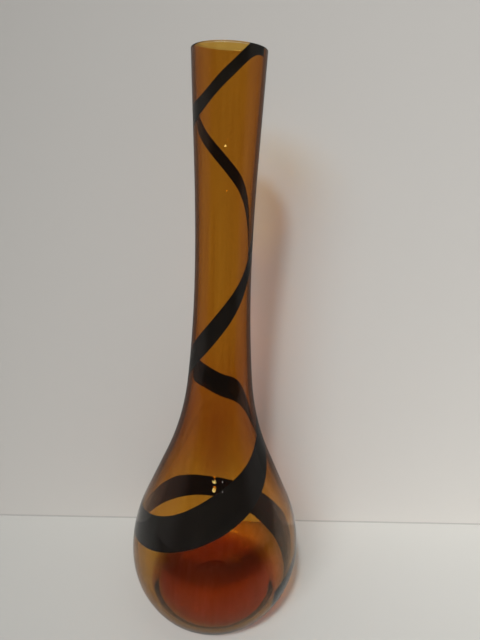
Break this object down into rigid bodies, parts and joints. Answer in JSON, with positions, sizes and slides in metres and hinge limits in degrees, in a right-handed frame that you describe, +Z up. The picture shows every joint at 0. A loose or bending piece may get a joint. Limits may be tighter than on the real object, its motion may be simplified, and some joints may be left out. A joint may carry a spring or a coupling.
{
  "type": "glass vase",
  "caption": "Tall bottle-shaped glass vase: clear outer glass over an amber bubble, with a black trail winding round it under the clear glass, and a thick bottom.",
  "frame": {"origin": "middle of the foot, on the surface that the vase stands on", "axes": "+Z up along the vase's axis to the lip; the side seen in the picture faces -Y"},
  "size_m": [0.1954, 0.1952, 0.6],
  "materials": {
    "clear_glass": "clear, fire-polished gloss",
    "amber_glass": "transparent amber, fire-polished gloss",
    "black_glass": "opaque black, glossy under the clear glass"
  },
  "bodies": {
    "root": {"clear_casing": "clear_glass", "amber_bubble": "amber_glass", "black_trail": "black_glass"}
  },
  "joints": []
}
